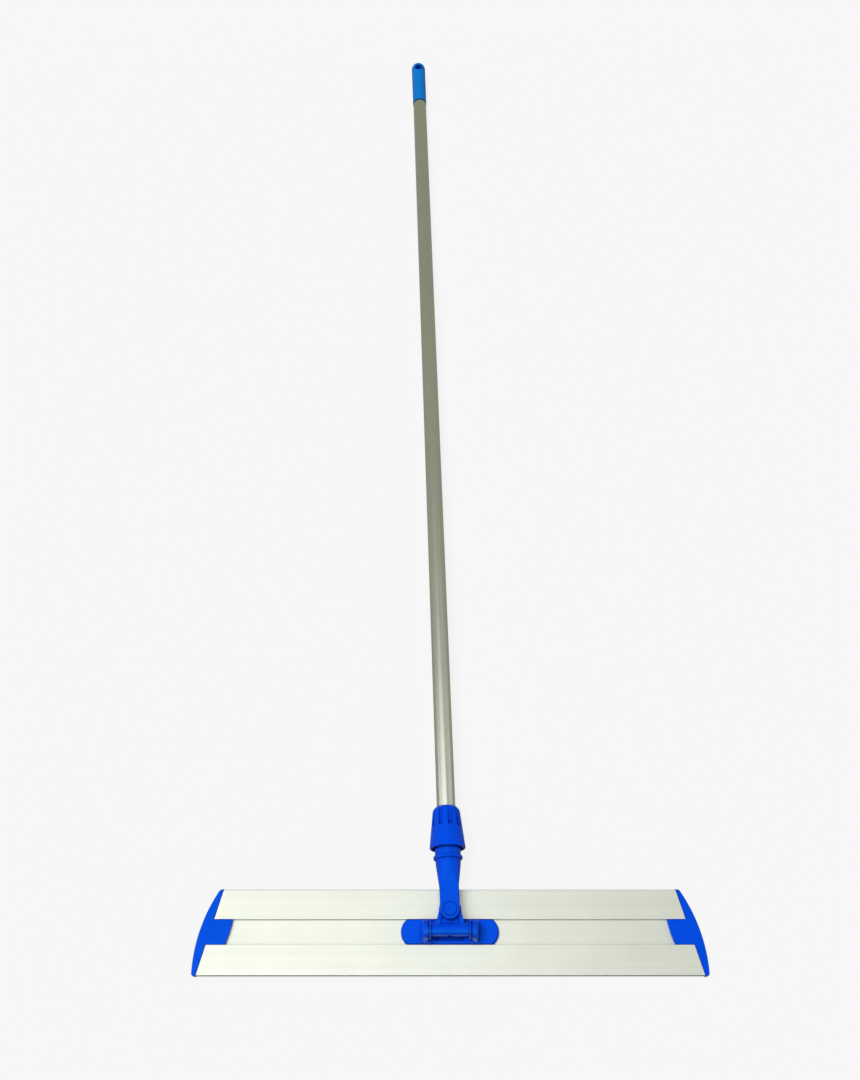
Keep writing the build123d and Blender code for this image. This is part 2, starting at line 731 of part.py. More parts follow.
def pin_cover(side):
    """Press-in disc over a pin end, dished, with a ring groove round it."""
    depth = COVER_DEPTH + COVER_PROUD
    groove_z = depth - COVER_GROOVE_DEPTH
    disc = turned(
        [
            (0, 0),
            (COVER_RADIUS, 0),
            (COVER_RADIUS, groove_z),
            (COVER_FACE_RADIUS, groove_z),
            (COVER_FACE_RADIUS, depth - COVER_CHAMFER),
            (COVER_FACE_RADIUS - COVER_CHAMFER, depth),
            (0, depth),
        ]
    )
    disc -= Pos(0, 0, depth - COVER_DISH_DEPTH + COVER_DISH_RADIUS) * Sphere(COVER_DISH_RADIUS)
    return Pos(0, side * (CHEEK_HALF - COVER_DEPTH), 0) * Rot(-90 * side, 0, 0) * disc


# ---------------------------------------------------------------- clamp nut and collet
def clamp_collet():
    """Split cone that the nut presses down to grip the handle."""
    bottom = COLLET_TOP - COLLET_LENGTH
    inner = TUBE_RADIUS + COLLET_FIT
    slope = (SEAT_TOP_RADIUS - SEAT_BOTTOM_RADIUS) / SEAT_DEPTH

    def seat(z):
        return SEAT_TOP_RADIUS + (z - SOCKET_TOP) * slope - CONE_GAP

    head = SOCKET_TOP + COLLET_HEAD_RISE
    ring = turned(
        [
            (inner, bottom),
            (seat(bottom), bottom),
            (seat(head), head),
            (seat(head) + COLLET_HEAD_FLARE, COLLET_TOP),
            (inner, COLLET_TOP),
        ]
    )
    gap = COLLET_GAP_WIDTH / 2
    ring -= block(-gap, gap, 0, BEYOND, bottom - CUT_OVER, COLLET_TOP + CUT_OVER)
    slit = COLLET_SLIT_WIDTH / 2
    cutter = block(-slit, slit, 0, BEYOND, bottom - CUT_OVER, COLLET_TOP - COLLET_BRIDGE)
    for angle in COLLET_SLITS:
        ring -= Rot(0, 0, angle) * cutter
    return ring


def nut_blank():
    """The nut before its flutes are cut: a turned body trimmed to a tapered prism of flats."""
    thread = THREAD_RADIUS + THREAD_CLEARANCE
    lead_in, lead_height = THREAD_LEAD_IN
    skirt_inner = NUT_BOTTOM_RADIUS - SKIRT_WALL
    skirt_top = NUT_BOTTOM + SKIRT_DEPTH
    skirt_bevel, skirt_bevel_height = SKIRT_BEVEL
    edge, edge_height = SKIRT_EDGE
    stop = COLLET_TOP + COLLET_NUT_GAP
    stop_bevel, stop_height = NUT_STOP_BEVEL
    mouth_bevel, mouth_height = NUT_MOUTH_BEVEL
    body = turned(
        [
            (skirt_inner, NUT_BOTTOM),
            (NUT_BOTTOM_RADIUS - edge, NUT_BOTTOM),
            (NUT_BOTTOM_RADIUS, NUT_BOTTOM + edge_height),
            (NUT_SHOULDER_RADIUS, NUT_SHOULDER),
            (NUT_CROWN_RADIUS, NUT_CROWN),
            (NUT_MOUTH_RADIUS + mouth_bevel, NUT_TOP),
            (NUT_MOUTH_RADIUS, NUT_TOP - mouth_height),
            (NUT_MOUTH_RADIUS, stop + stop_height),
            (NUT_MOUTH_RADIUS + stop_bevel, stop),
            (thread, stop),
            (thread, skirt_top + lead_height),
            (thread + lead_in, skirt_top),
            (skirt_inner - skirt_bevel, skirt_top - skirt_bevel_height),
        ]
    )
    body = fillet(edges_of_radius(body, NUT_CROWN_RADIUS), NUT_CROWN_ROUND)
    body = fillet(edges_of_radius(body, NUT_SHOULDER_RADIUS), NUT_SHOULDER_ROUND)
    height = NUT_SHOULDER - NUT_BOTTOM
    taper = math.degrees(math.atan((NUT_BOTTOM_RADIUS - NUT_SHOULDER_RADIUS) / height))
    flats = RegularPolygon(NUT_BOTTOM_RADIUS + FACET_STAND_OFF, FACETS)
    prism = Pos(0, 0, NUT_BOTTOM) * extrude(flats, NUT_TOP - NUT_BOTTOM, taper=taper)
    prism = Rot(0, 0, FLUTE_TURN - 90 + 180 / FACETS) * prism
    crown = rod(NUT_BOTTOM_RADIUS, NUT_SHOULDER - CUT_OVER, NUT_TOP + CUT_OVER)
    return body & (prism + crown)


def edges_of_radius(solid, radius):
    """The circular edges of one radius."""
    return [e for e in solid.edges().filter_by(GeomType.CIRCLE) if abs(e.radius - radius) < MATCH]


def flute_section(half, height):
    """A U-shaped slot, open outwards along +X, at one height."""
    centre = FLUTE_FLOOR_RADIUS + half
    outer = centre + FLUTE_REACH
    outline = [
        Line((centre, half), (outer, half)),
        Line((outer, half), (outer, -half)),
        Line((outer, -half), (centre, -half)),
        ThreePointArc((centre, -half), (FLUTE_FLOOR_RADIUS, 0), (centre, half)),
    ]
    return Pos(0, 0, height) * make_face(Curve() + outline)


def clamp_nut():
    """Flared hand nut with ten finger flutes above and narrow flats all the way down."""
    nut = nut_blank()
    cutter = loft(
        [
            flute_section(FLUTE_HALF_BELOW, FLUTE_BOTTOM),
            flute_section(FLUTE_HALF_ABOVE, NUT_TOP + CUT_OVER),
        ],
        ruled=True,
    )
    for i in range(FLUTES):
        nut -= Rot(0, 0, FLUTE_TURN - 90 + i * 360 / FLUTES) * cutter
    return nut


# ---------------------------------------------------------------- handle
def handle_tube():
    """The aluminium tube."""
    return tube_solid(TUBE_RADIUS, TUBE_RADIUS - TUBE_WALL, TUBE_BOTTOM, TUBE_TOP)


def tube_plug():
    """Plastic plug that closes the tube's lower end."""
    inside = TUBE_RADIUS - TUBE_WALL
    low, high = TUBE_BOTTOM - PLUG_FLANGE, TUBE_BOTTOM + PLUG_DEPTH
    nose_bevel, nose_height = PLUG_NOSE
    plug = turned(
        [
            (0, low),
            (TUBE_RADIUS - PLUG_EDGE, low),
            (TUBE_RADIUS, low + PLUG_EDGE),
            (TUBE_RADIUS, TUBE_BOTTOM),
            (inside, TUBE_BOTTOM),
            (inside, high - nose_height),
            (inside - nose_bevel, high),
            (0, high),
        ]
    )
    return plug - rod(inside - PLUG_WALL, TUBE_BOTTOM + PLUG_FLANGE, high + CUT_OVER)


def handle_grip():
    """Grip sleeve, a little wider towards its domed end, with a cross hole to hang the mop by."""
    dome_mid = math.sqrt(0.5) * GRIP_RADIUS
    top = GRIP_DOME_CENTRE + GRIP_RADIUS
    outline = [
        Line((0, GRIP_BOTTOM), (GRIP_MOUTH_RADIUS, GRIP_BOTTOM)),
        Line((GRIP_MOUTH_RADIUS, GRIP_BOTTOM), (GRIP_RADIUS, GRIP_DOME_CENTRE)),
        ThreePointArc(
            (GRIP_RADIUS, GRIP_DOME_CENTRE), (dome_mid, GRIP_DOME_CENTRE + dome_mid), (0, top)
        ),
        Line((0, top), (0, GRIP_BOTTOM)),
    ]
    sleeve = revolve(Plane.XZ * make_face(Curve() + outline), Axis.Z)
    sleeve = fillet(edges_of_radius(sleeve, GRIP_MOUTH_RADIUS), GRIP_MOUTH_ROUND)
    sleeve -= rod(TUBE_RADIUS, GRIP_BOTTOM - CUT_OVER, TUBE_TOP)
    return sleeve - rod_y(HANG_HOLE_RADIUS, -BEYOND, BEYOND, HANG_HOLE_HEIGHT)


# ---------------------------------------------------------------- placing
def lay_back(shape):
    """Turns what is drawn upright on the tilt axis back to the rest position."""
    tilt_axis = Axis((0, 0, TILT_AXIS_Z), (1, 0, 0))
    return shape.rotate(tilt_axis, -(90 + rest_droop()))


def lay_pole(shape):
    """Places what is drawn about the swivel pin: leaned on the pin, then laid back."""
    raised = Pos(0, 0, PIN_Z) * shape
    swivel_axis = Axis((0, 0, PIN_Z), (0, -1, 0))
    return lay_back(raised.rotate(swivel_axis, REST_LEAN))


def write(name, shape):
    """Writes one node's STEP file."""
    export_step(shape, f"parts/{name}.step")


def main():
    os.makedirs("parts", exist_ok=True)
    cap = end_cap()
    write("frame_profile", frame_profile())
    write("end_cap_right", cap)
    write("end_cap_left", mirror(cap, Plane.YZ))
    for name, side in (("front", -1), ("middle", 0), ("rear", 1)):
        write(f"hook_strip_{name}", hook_strip(side))
    write("swivel_base", swivel_base())
    write("base_screws", screw_group(base_screw_places(), BASE_SCREW_LENGTH))
    write("cap_screws", screw_group(cap_screw_places(), CAP_SCREW_LENGTH))
    write("tilt_axle", tilt_axle())
    write("knuckle", lay_back(knuckle()))
    write("pole_socket", lay_pole(pole_socket()))
    write("swivel_pin", lay_pole(swivel_pin()))
    write("pin_cover_front", lay_pole(pin_cover(-1)))
    write("pin_cover_rear", lay_pole(pin_cover(1)))
    write("clamp_collet", lay_pole(clamp_collet()))
    write("clamp_nut", lay_pole(clamp_nut()))
    write("handle_tube", lay_pole(handle_tube()))
    write("tube_plug", lay_pole(tube_plug()))
    write("handle_grip", lay_pole(handle_grip()))
    print("rest droop, degrees:", round(rest_droop(), 5))


main()
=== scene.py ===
import bpy
import bmesh
import json
import math
import random
from mathutils import Matrix, Vector


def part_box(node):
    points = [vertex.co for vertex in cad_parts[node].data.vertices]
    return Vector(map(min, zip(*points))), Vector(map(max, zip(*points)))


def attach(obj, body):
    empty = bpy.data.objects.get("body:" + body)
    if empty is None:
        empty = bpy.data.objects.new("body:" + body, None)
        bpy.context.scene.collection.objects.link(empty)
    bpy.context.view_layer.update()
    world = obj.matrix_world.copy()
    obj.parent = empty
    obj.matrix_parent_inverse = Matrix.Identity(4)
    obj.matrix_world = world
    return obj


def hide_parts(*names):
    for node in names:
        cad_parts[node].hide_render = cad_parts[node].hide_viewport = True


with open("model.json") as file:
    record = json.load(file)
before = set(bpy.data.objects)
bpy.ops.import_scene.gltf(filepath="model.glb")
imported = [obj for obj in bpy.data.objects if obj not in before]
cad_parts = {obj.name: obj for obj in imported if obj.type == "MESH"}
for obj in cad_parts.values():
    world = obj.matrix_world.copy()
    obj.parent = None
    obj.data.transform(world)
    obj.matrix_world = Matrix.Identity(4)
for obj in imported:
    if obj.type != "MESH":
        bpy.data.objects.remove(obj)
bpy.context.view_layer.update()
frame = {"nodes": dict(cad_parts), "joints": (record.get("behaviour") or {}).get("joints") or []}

# ---------------------------------------------------------------- view
CAMERA_PLACE = (-0.02207, -0.23967, 1.35582)
CAMERA_PITCH = 60.193
CAMERA_YAW = 0.108
CAMERA_ROLL = -0.123
CAMERA_LENS = 36.439
CAMERA_SENSOR = 36.0
NEAREST_SEEN = 0.02
FARTHEST_SEEN = 500.0

# ---------------------------------------------------------------- studio
FLOOR_REACH = 200.0
FLOOR_GLOW = 0.86
FLOOR_COLOUR = (0.075, 0.075, 0.075)
ROOM_DIFFUSE = (0.16, 0.16, 0.16)
ROOM_GLOSSY = (0.40, 0.425, 0.32)
ROOM_SEEN = (0.93, 0.93, 0.93)
# name: where it shines from, angular width in degrees, strength
SOFT_LIGHTS = {
    "key": ((-1.6, 0.4, 4.2), 32.0, 2.45),
    "right_fill": ((2.6, -0.1, 0.9), 40.0, 0.42),
}
# name: middle, the point it faces, width and height, radiance
GLOSS_PANELS = {
    "ceiling": ((-0.91, -0.17, 2.2), (-0.91, -0.17, 0), (2.58, 2.44), 1.92),
    "right_ceiling": ((2.0, 0.3, 2.2), (2.0, 0.3, 0), (1.8, 3.4), 0.36),
    "left_wall": ((-2.2, -0.3, 1.2), (0, -0.3, 1.2), (2.2, 2.0), 1.8),
    "right_wall": ((2.6, 0.0, 1.2), (0, 0.0, 1.2), (2.8, 2.0), 0.65),
    "front_gloss": ((-0.3, -2.1, 2.2), (0, 0, 0), (2.4, 1.1), 8.0),
}

# ---------------------------------------------------------------- colours, linear
WHITE = (1.0, 1.0, 1.0)
BLUE = (0.0003, 0.060, 0.74)
NUT_BLUE = (0.0003, 0.064, 0.80)
GRIP_BLUE = (0.002, 0.186, 0.645)
BLUE_SHEEN = (0.05, 0.62, 0.85)
HEAD_METAL = (0.615, 0.635, 0.58)
# the head's long side faces: a darker metal that paints the shade they lie in
PAINTED_SHADE_SIDE_METAL = (0.24, 0.25, 0.30)
TUBE_METAL = (0.54, 0.55, 0.52)
STEEL = (0.56, 0.56, 0.55)
GREY_PLASTIC = (0.12, 0.125, 0.13)
TAPE_COLOUR = (0.70, 0.70, 0.66)

# ---------------------------------------------------------------- surfaces, lengths in metres
# the part of a noise's range that nearly all of it lies in
NOISE_RANGE = (0.3, 0.7)
# painted shade for creases, the grip's hole and the grip's mouth: how far the shade reaches, and
# the share of each colour channel left in its depth
PAINTED_CREASE_SHADE = (0.006, (0.3, 0.12, 0.45))
PAINTED_HOLE_SHADE = (0.02, (0.1, 0.6, 1.2))
PAINTED_MOUTH_SHADE = (0.004, (0.25, 0.25, 0.25))
# how open a point is where the painted shade in a hollow is deepest, and where it ends
PAINTED_SHADE_RANGE = (0.25, 0.95)
HOLLOW_SAMPLES = 8
# how far inside the head's long edges their painted shade starts, and where it is full
SIDE_SHADE_START = 0.0006
SIDE_SHADE_FULL = 0.0001
PLASTIC_SPECULAR = 0.35
NYLON_SPECULAR = 0.3
# noise scales across and along the lines and the broader bands of drawn metal
LINE_SCALES = (900.0, 3.0)
BAND_SCALES = (220.0, 1.2)

# ---------------------------------------------------------------- hook tape, lengths in metres
TAPE_BASE = 0.0009
TAPE_LINES = 24
SELVEDGE = 0.55
TAPE_MARGIN = 0.0016
CORNER_REACH = 0.0005
CORNER_DIGITS = 5
HOOK_PITCH = 0.0025
HOOK_WIDTH = 0.00032
HOOK_REACH = 0.0006
HOOK_ROOT = 0.0002
# how far a hook may stand out of its place in X and Y
HOOK_STRAY = (0.0003, 0.0002)
# up a hook: share of its reach, share of its height, share of its width
HOOK_STATIONS = ((0.0, 0.0, 1.3), (0.0, 0.55, 1.0), (0.4, 0.9, 1.0), (1.0, 1.0, 0.8))
SQUARE = ((-1, -1), (1, -1), (1, 1), (-1, 1))


def aim_matrix(place, pitch, yaw, roll):
    """A camera's place and turn: pitch is down from level, and yaw is about the vertical."""
    turn = (
        Matrix.Rotation(math.radians(yaw), 4, "Z")
        @ Matrix.Rotation(math.radians(90 - pitch), 4, "X")
        @ Matrix.Rotation(math.radians(roll), 4, "Z")
    )
    return Matrix.Translation(place) @ turn


def add_camera():
    """The camera that frames the whole object from the front and above."""
    data = bpy.data.cameras.new("camera")
    data.sensor_fit = "AUTO"
    data.sensor_width = CAMERA_SENSOR
    data.lens = CAMERA_LENS
    data.clip_start = NEAREST_SEEN
    data.clip_end = FARTHEST_SEEN
    camera = bpy.data.objects.new("camera", data)
    bpy.context.scene.collection.objects.link(camera)
    camera.matrix_world = aim_matrix(CAMERA_PLACE, CAMERA_PITCH, CAMERA_YAW, CAMERA_ROLL)
    bpy.context.scene.camera = camera


def add_soft_light(name, source, width, strength):
    """A broad soft light from one direction, the same everywhere on the floor."""
    data = bpy.data.lights.new(name, "SUN")
    data.angle = math.radians(width)
    data.energy = strength
    light = bpy.data.objects.new(name, data)
    light.location = source
    light.rotation_euler = Vector(source).to_track_quat("Z", "Y").to_euler()
    light.visible_glossy = False
    bpy.context.scene.collection.objects.link(light)


def add_gloss_panel(name, middle, target, size, radiance):
    """An evenly bright rectangle facing a point, that only glossy surfaces reflect."""
    width, height = size
    facing = Vector(target) - Vector(middle)
    data = bpy.data.lights.new(name, "AREA")
    data.shape = "RECTANGLE"
    data.size = width
    data.size_y = height
    data.energy = radiance * math.pi * width * height
    light = bpy.data.objects.new(name, data)
    light.location = middle
    light.rotation_euler = facing.to_track_quat("-Z", "Y").to_euler()
    light.visible_camera = False
    light.visible_diffuse = False
    bpy.context.scene.collection.objects.link(light)


def add_room():
    """Dim surroundings for the light and reflections, seen as plain pale by the camera."""
    world = bpy.data.worlds.new("room")
    world.use_nodes = True
    nodes, links = world.node_tree.nodes, world.node_tree.links
    path = nodes.new("ShaderNodeLightPath")
    shader = nodes["Background"].outputs["Background"]
    nodes["Background"].inputs["Color"].default_value = (*ROOM_DIFFUSE, 1)
    for ray, colour in (("Is Glossy Ray", ROOM_GLOSSY), ("Is Camera Ray", ROOM_SEEN)):
        other = nodes.new("ShaderNodeBackground")
        other.inputs["Color"].default_value = (*colour, 1)
        mix = nodes.new("ShaderNodeMixShader")
        links.new(path.outputs[ray], mix.inputs["Fac"])
        links.new(shader, mix.inputs[1])
        links.new(other.outputs["Background"], mix.inputs[2])
        shader = mix.outputs["Shader"]
    links.new(shader, nodes["World Output"].inputs["Surface"])
    bpy.context.scene.world = world


def add_floor():
    """A pale floor that mostly glows, so that only a faint shadow lies under the object."""
    reach = FLOOR_REACH
    mesh = bpy.data.meshes.new("floor")
    corners = [(-reach, -reach, 0), (reach, -reach, 0), (reach, reach, 0), (-reach, reach, 0)]
    mesh.from_pydata(corners, [], [(0, 1, 2, 3)])
    floor = bpy.data.objects.new("floor", mesh)
    bpy.context.scene.collection.objects.link(floor)
    mat = bpy.data.materials.new("floor")
    mat.use_nodes = True
    shader = mat.node_tree.nodes["Principled BSDF"]
    shader.inputs["Base Color"].default_value = (*FLOOR_COLOUR, 1)
    shader.inputs["Roughness"].default_value = 1.0
    shader.inputs["Specular IOR Level"].default_value = 0.0
    shader.inputs["Emission Color"].default_value = (*WHITE, 1)
    shader.inputs["Emission Strength"].default_value = FLOOR_GLOW
    mesh.materials.append(mat)
    floor.visible_glossy = False
    floor.visible_diffuse = False


# ---------------------------------------------------------------- materials
class Surface:
    """A Principled material with helpers for the procedural detail that feeds it."""

    def __init__(self, name, colour, roughness, metallic=0.0):
        self.mat = bpy.data.materials.new(name)
        self.mat.use_nodes = True
        self.nodes = self.mat.node_tree.nodes
        self.links = self.mat.node_tree.links
        self.shader = self.nodes["Principled BSDF"]
        self.colour = colour
        self.shader.inputs["Base Color"].default_value = (*colour, 1)
        self.shader.inputs["Roughness"].default_value = roughness
        self.shader.inputs["Metallic"].default_value = metallic

    def set(self, **values):
        """Sets shader sockets that are the same all over the surface."""
        for name, value in values.items():
            self.shader.inputs[name.replace("_", " ")].default_value = value

    def coordinates(self, scale=(1, 1, 1), turn=(0, 0, 0)):
        """Object coordinates in metres, turned and then scaled."""
        place = self.nodes.new("ShaderNodeTexCoord")
        turned = self.nodes.new("ShaderNodeVectorRotate")
        turned.rotation_type = "EULER_XYZ"
        turned.inputs["Rotation"].default_value = turn
        self.links.new(place.outputs["Object"], turned.inputs["Vector"])
        scaled = self.nodes.new("ShaderNodeVectorMath")
        scaled.operation = "MULTIPLY"
        scaled.inputs[1].default_value = scale
        self.links.new(turned.outputs["Vector"], scaled.inputs[0])
        return scaled.outputs["Vector"]

    def split(self, vector):
        """The X, Y and Z of a vector."""
        parts = self.nodes.new("ShaderNodeSeparateXYZ")
        self.links.new(vector, parts.inputs["Vector"])
        return parts.outputs

    def noise(self, scale, detail=3.0, vector=None):
        """Noise from 0 to 1 over the given coordinates, or over the plain ones."""
        node = self.nodes.new("ShaderNodeTexNoise")
        node.inputs["Scale"].default_value = scale
        node.inputs["Detail"].default_value = detail
        self.links.new(vector or self.coordinates(), node.inputs["Vector"])
        return node.outputs["Fac"]

    def ramp(self, value, start, end, low=0.0, high=1.0, smooth=False):
        """Runs from low to high as a value goes from start to end, and stays there."""
        node = self.nodes.new("ShaderNodeMapRange")
        node.interpolation_type = "SMOOTHSTEP" if smooth else "LINEAR"
        node.inputs["From Min"].default_value = start
        node.inputs["From Max"].default_value = end
        node.inputs["To Min"].default_value = low
        node.inputs["To Max"].default_value = high
        self.links.new(value, node.inputs["Value"])
        return node.outputs["Result"]

    def mix(self, kind, factor, first, second):
        """Blends colours or plain values, each of them a constant or another node's output."""
        node = self.nodes.new("ShaderNodeMix")
        node.data_type = kind
        sockets = [s for s in node.inputs if s.enabled]
        for socket, source in zip(sockets, (factor, first, second)):
            if isinstance(source, bpy.types.NodeSocket):
                self.links.new(source, socket)
            else:
                socket.default_value = source
        return next(s for s in node.outputs if s.enabled)

    def base_colour(self):
        """What feeds the base colour now."""
        return self.shader.inputs["Base Color"].links[0].from_socket

    def colour_times(self, shares):
        """The surface's colour with each channel multiplied by its share."""
        return (*[share * channel for share, channel in zip(shares, self.colour)], 1)

    def tint(self, noise, dark, light):
        """Spreads the base colour from dark to light times itself with a noise."""
        level = self.ramp(noise, *NOISE_RANGE)
        darkest = self.colour_times((dark,) * 3)
        lightest = self.colour_times((light,) * 3)
        mixed = self.mix("RGBA", level, darkest, lightest)
        self.links.new(mixed, self.shader.inputs["Base Color"])

    def paint_shade(self, level, depth):
        """Paints shade: runs the base colour from its darkest painted shade to itself as level
        goes from 0 to 1.
        """
        mixed = self.mix("RGBA", level, self.colour_times(depth), self.base_colour())
        self.links.new(mixed, self.shader.inputs["Base Color"])

    def paint_hollow_shade(self, reach, depth, alone=False):
        """Paints shade into hollows narrower than reach, or only into the piece's own, by
        darkening the base colour.
        """
        near = self.nodes.new("ShaderNodeAmbientOcclusion")
        near.samples = HOLLOW_SAMPLES
        near.only_local = alone
        near.inputs["Distance"].default_value = reach
        self.paint_shade(self.ramp(near.outputs["AO"], *PAINTED_SHADE_RANGE), depth)

    def paint_end_shade(self, reach, depth, end, turn):
        """Paints shade within reach of a height along the turned +Z, by darkening the base
        colour.
        """
        height = self.split(self.coordinates(turn=turn))["Z"]
        self.paint_shade(self.ramp(height, end + reach / 2, end + reach, smooth=True), depth)

    def paint_edge_shade(self, colour, half_depth):
        """Paints shade on the two outermost long faces, at plus and minus half_depth, with a
        darker colour.
        """
        depth = self.nodes.new("ShaderNodeMath")
        depth.operation = "ABSOLUTE"
        self.links.new(self.split(self.coordinates())["Y"], depth.inputs[0])
        share = self.ramp(depth.outputs["Value"], half_depth - SIDE_SHADE_START, half_depth - SIDE_SHADE_FULL)
        mixed = self.mix("RGBA", share, self.base_colour(), (*colour, 1))
        self.links.new(mixed, self.shader.inputs["Base Color"])

    def rough(self, noise, low, high):
        """Spreads the roughness from low to high with a noise."""
        level = self.ramp(noise, *NOISE_RANGE, low, high)
        self.links.new(level, self.shader.inputs["Roughness"])

    def bump(self, value, depth, strength):
        """A bump of the given depth in metres, stacked on any bump that is there already."""
        node = self.nodes.new("ShaderNodeBump")
        node.inputs["Strength"].default_value = strength
        node.inputs["Distance"].default_value = depth
        self.links.new(value, node.inputs["Height"])
        before = self.shader.inputs["Normal"].links
        if before:
            self.links.new(before[0].from_socket, node.inputs["Normal"])
        self.links.new(node.outputs["Normal"], self.shader.inputs["Normal"])


def moulded_plastic(name, colour, roughness, sheen_colour=BLUE_SHEEN, painted_hollows=PAINTED_CREASE_SHADE):
    """Moulded plastic: slight cloudiness, uneven gloss, a fine grain and painted shade in its
    hollows.
    """
    surface = Surface(name, colour, roughness)
    surface.set(Specular_IOR_Level=PLASTIC_SPECULAR, Specular_Tint=(*sheen_colour, 1))
    surface.tint(surface.noise(scale=45.0), dark=0.93, light=1.07)
    # painted shade: the base colour darkens in creases and hollows
    surface.paint_hollow_shade(*painted_hollows)
    surface.rough(surface.noise(scale=160.0), low=roughness - 0.05, high=roughness + 0.07)
    surface.bump(surface.noise(scale=2600.0, detail=1.0), depth=0.00002, strength=0.35)
    surface.bump(surface.noise(scale=120.0, detail=2.0), depth=0.00012, strength=0.25)
    return surface


def drawn_out(scales, along):
    """Scales for three axes that draw a noise out along one of them."""
    across, lengthwise = scales
    return [lengthwise if axis == along else across for axis in "XYZ"]


def drawn_metal(name, colour, roughness, metallic, along, streak, turn=(0, 0, 0)):
    """Anodised metal with fine lines along one axis, as an extrusion or a drawn tube has."""
    surface = Surface(name, colour, roughness, metallic)
    fine = surface.coordinates(drawn_out(LINE_SCALES, along), turn)
    broad = surface.coordinates(drawn_out(BAND_SCALES, along), turn)
    lines = surface.noise(scale=1.0, detail=4.0, vector=fine)
    bands = surface.noise(scale=1.0, detail=2.0, vector=broad)
    blotches = surface.noise(scale=22.0, detail=4.0)
    surface.tint(surface.mix("FLOAT", 0.5, bands, blotches), dark=1 - streak, light=1 + streak)
    surface.rough(lines, low=roughness - 0.05, high=roughness + 0.05)
    surface.bump(lines, depth=0.00001, strength=0.4)
    surface.bump(surface.noise(scale=3200.0, detail=1.0), depth=0.000008, strength=0.3)
    return surface


def plated_steel(name):
    """Zinc-plated steel: dull, slightly mottled."""
    surface = Surface(name, STEEL, roughness=0.32, metallic=1.0)
    mottle = surface.noise(scale=700.0, detail=4.0)
    surface.tint(mottle, dark=0.85, light=1.12)
    surface.rough(mottle, low=0.25, high=0.42)
    surface.bump(mottle, depth=0.00001, strength=0.3)
    return surface


def woven_nylon(name, colour, weave):
    """Nylon for the tape: its backing has a fine weave, its hooks are plain."""
    surface = Surface(name, colour, roughness=0.6)
    surface.set(Specular_IOR_Level=NYLON_SPECULAR)
    for direction in weave:
        wave = surface.nodes.new("ShaderNodeTexWave")
        wave.wave_type = "BANDS"
        wave.bands_direction = direction
        wave.inputs["Scale"].default_value = 190.0
        wave.inputs["Distortion"].default_value = 0.6
        surface.links.new(surface.coordinates(), wave.inputs["Vector"])
        surface.bump(wave.outputs["Fac"], depth=0.00012, strength=0.7)
    shade = surface.noise(scale=260.0)
    surface.tint(shade, dark=0.86, light=1.08)
    surface.rough(shade, low=0.5, high=0.7)
    return surface


# ---------------------------------------------------------------- hook tape
def half_length_of(node):
    """Gives a function for the CAD strip's half length at any depth between its slanted ends."""
    low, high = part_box(node)
    corners = [(abs(v.co.x), v.co.y) for v in frame["nodes"][node].data.vertices]
    front = round(max(x for x, y in corners if y < low.y + CORNER_REACH), CORNER_DIGITS)
    rear = round(max(x for x, y in corners if y > high.y - CORNER_REACH), CORNER_DIGITS)

    def half_length(y):
        return front + (rear - front) * (y - low.y) / (high.y - low.y)

    return half_length


def add_backing(bm, low, high, half_length):
    """The tape's body: a flat back, straight ends, and a face that thins at its selvedges."""
    depth = high.y - low.y
    lines = []
    for i in range(TAPE_LINES + 1):
        y = low.y + depth * i / TAPE_LINES
        z = high.z - TAPE_BASE * (1.0 if 0 < i < TAPE_LINES else SELVEDGE)
        end = half_length(y)
        lines.append([bm.verts.new((-end, y, z)), bm.verts.new((end, y, z))])
    for a, b in zip(lines, lines[1:]):
        bm.faces.new((a[0], b[0], b[1], a[1]))
    backs = []
    for y in (low.y, high.y):
        end = half_length(y)
        backs.append([bm.verts.new((-end, y, high.z)), bm.verts.new((end, y, high.z))])
    bm.faces.new((backs[0][0], backs[0][1], backs[1][1], backs[1][0]))
    bm.faces.new((lines[0][0], lines[0][1], backs[0][1], backs[0][0]))
    bm.faces.new((lines[-1][1], lines[-1][0], backs[1][0], backs[1][1]))
    left = [line[0] for line in lines]
    right = [line[1] for line in lines]
    bm.faces.new([backs[0][0], backs[1][0]] + left[::-1])
    bm.faces.new([backs[1][1], backs[0][1]] + right)


def add_hook(bm, x, y, root, tip, lean):
    """One hook: a thin square stem that bends over at its tip."""
    rings = []
    for reach, share, width in HOOK_STATIONS:
        middle = x + lean * reach * HOOK_REACH
        half = HOOK_WIDTH / 2 * width
        z = root + (tip - root) * share
        ring = [bm.verts.new((middle + sx * half, y + sy * half, z)) for sx, sy in SQUARE]
        rings.append(ring)
    faces = []
    for a, b in zip(rings, rings[1:]):
        for k in range(4):
            following = (k + 1) % 4
            faces.append(bm.faces.new((a[k], a[following], b[following], b[k])))
    faces.append(bm.faces.new(rings[0][::-1]))
    faces.append(bm.faces.new(rings[-1]))
    for face in faces:
        face.material_index = 1


def add_hooks(bm, low, high, half_length, stray):
    """Rows of hooks that lean to alternate sides, each a little out of its place."""
    depth = high.y - low.y - 2 * TAPE_MARGIN
    rows = int(depth / HOOK_PITCH)
    root = high.z - TAPE_BASE + HOOK_ROOT
    for row in range(rows + 1):
        y = low.y + TAPE_MARGIN + depth * row / rows
        reach = half_length(y) - TAPE_MARGIN
        count = int(2 * reach / HOOK_PITCH)
        lean = 1 if row % 2 else -1
        for i in range(count + 1):
            x = -reach + 2 * reach * i / count
            stray_x, stray_y = [stray.uniform(-most, most) for most in HOOK_STRAY]
            add_hook(bm, x + stray_x, y + stray_y, root, low.z, lean)


